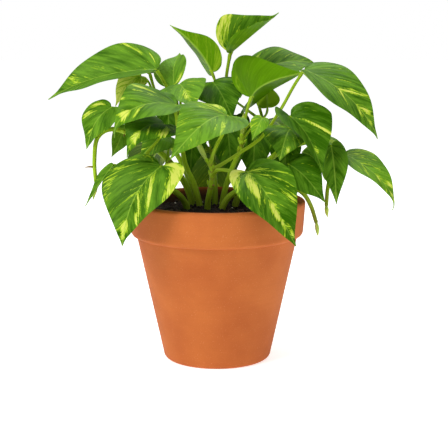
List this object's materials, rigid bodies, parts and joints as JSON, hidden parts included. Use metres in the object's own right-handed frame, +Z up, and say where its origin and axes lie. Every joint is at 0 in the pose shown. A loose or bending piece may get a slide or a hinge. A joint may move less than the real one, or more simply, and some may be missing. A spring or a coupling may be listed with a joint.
{
  "type": "potted plant",
  "caption": "Pothos with trailing vines and variegated heart-shaped leaves, growing in a tapered round clay pot with a thick rim.",
  "frame": {"origin": "the centre of the underside of the clay pot, on the surface that the pot stands on", "axes": "+Z up along the pot's axis; -Y towards the viewer, the side the leaves are dressed to; +X to the viewer's right"},
  "size_m": [0.3114, 0.1961, 0.3044],
  "materials": {
    "terracotta": "matte",
    "potting_soil": "matte",
    "green_stem": "satin",
    "pothos_leaf": "satin",
    "young_leaf": "satin"
  },
  "bodies": {
    "root": {"leaf_back_center": "pothos_leaf", "leaf_back_high_left": "pothos_leaf", "leaf_back_high_right": "pothos_leaf", "leaf_back_low_center": "pothos_leaf", "leaf_back_low_left": "pothos_leaf", "leaf_back_low_right": "pothos_leaf", "leaf_back_mid_left": "pothos_leaf", "leaf_back_mid_right": "pothos_leaf", "leaf_back_side_right": "pothos_leaf", "leaf_center": "pothos_leaf", "leaf_crown_left": "pothos_leaf", "leaf_crown_right": "pothos_leaf", "leaf_cupped_right": "pothos_leaf", "leaf_dark_center": "pothos_leaf", "leaf_dark_left": "pothos_leaf", "leaf_far_right_high": "pothos_leaf", "leaf_far_right_low": "pothos_leaf", "leaf_folded_left": "pothos_leaf", "leaf_front_left": "pothos_leaf", "leaf_front_right": "pothos_leaf", "leaf_heart_right": "pothos_leaf", "leaf_inner_right": "pothos_leaf", "leaf_low_right": "pothos_leaf", "leaf_mid_left": "pothos_leaf", "leaf_narrow_left": "pothos_leaf", "leaf_outer_left": "pothos_leaf", "leaf_pale_left": "pothos_leaf", "leaf_shaded_center": "pothos_leaf", "leaf_shaded_far_left": "pothos_leaf", "leaf_shaded_far_right": "pothos_leaf", "leaf_shaded_high": "pothos_leaf", "leaf_shaded_left": "pothos_leaf", "leaf_shaded_mid": "pothos_leaf", "leaf_shaded_right": "pothos_leaf", "leaf_small_crown": "pothos_leaf", "leaf_small_left": "pothos_leaf", "leaf_small_right": "pothos_leaf", "leaf_speckled_right": "pothos_leaf", "leaf_tiny_right": "pothos_leaf", "leaf_upper_left": "pothos_leaf", "leaf_upper_right": "pothos_leaf", "leaf_young_center": "pothos_leaf", "new_leaf_center": "young_leaf", "new_leaf_left_tip": "young_leaf", "new_leaf_right_short": "young_leaf", "new_leaf_right_tall": "young_leaf", "new_leaf_right_tip": "young_leaf", "pot": "terracotta", "soil": "potting_soil", "vine_back_center": "green_stem", "vine_back_left": "green_stem", "vine_back_right": "green_stem", "vine_center": "green_stem", "vine_front_left": "green_stem", "vine_left": "green_stem", "vine_left_trailing": "green_stem", "vine_right": "green_stem", "vine_right_tall": "green_stem", "vine_right_trailing": "green_stem"}
  },
  "joints": []
}
